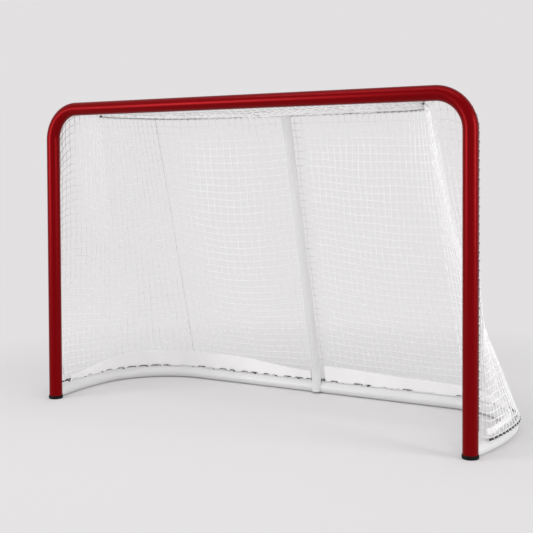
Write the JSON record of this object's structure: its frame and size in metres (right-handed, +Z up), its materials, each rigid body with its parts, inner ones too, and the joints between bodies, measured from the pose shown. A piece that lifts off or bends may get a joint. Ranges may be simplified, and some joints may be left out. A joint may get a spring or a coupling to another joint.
{
  "type": "ice hockey goal",
  "caption": "Ice hockey goal with a bent tube mouth, D-shaped base tube, rear top tube, centre post, lacing rods, laced net and cloth skirt.",
  "frame": {"origin": "on the floor below the middle of the goal: half way between its sides, and half way between its front and its rear", "axes": "+X to the right as seen from the mouth's side, +Y from the mouth back to the net, +Z up"},
  "size_m": [2.0152, 0.7222, 1.2742],
  "materials": {
    "red_paint": "gloss",
    "white_paint": "semi-gloss",
    "rod_steel": "satin",
    "cap_rubber": "matte",
    "net_twine": "matte",
    "lacing_cord": "matte",
    "skirt_fabric": "matte"
  },
  "bodies": {
    "root": {"left_post": "red_paint", "left_corner": "red_paint", "crossbar": "red_paint", "right_corner": "red_paint", "right_post": "red_paint", "base_tube": "white_paint", "top_tube": "white_paint", "centre_post": "white_paint", "foot_cap_left": "cap_rubber", "foot_cap_right": "cap_rubber", "post_lacing_rod_left": "rod_steel", "post_lacing_rod_right": "rod_steel", "crossbar_lacing_rod": "rod_steel", "top_lacing_rod": "rod_steel", "base_lacing_rod": "rod_steel", "net_side_left": "net_twine", "net_side_right": "net_twine", "net_back": "net_twine", "net_roof": "net_twine", "lacing_post_left": "lacing_cord", "lacing_post_right": "lacing_cord", "lacing_crossbar": "lacing_cord", "lacing_top": "lacing_cord", "lacing_base": "lacing_cord", "skirt_left": "skirt_fabric", "skirt_right": "skirt_fabric"}
  },
  "joints": []
}
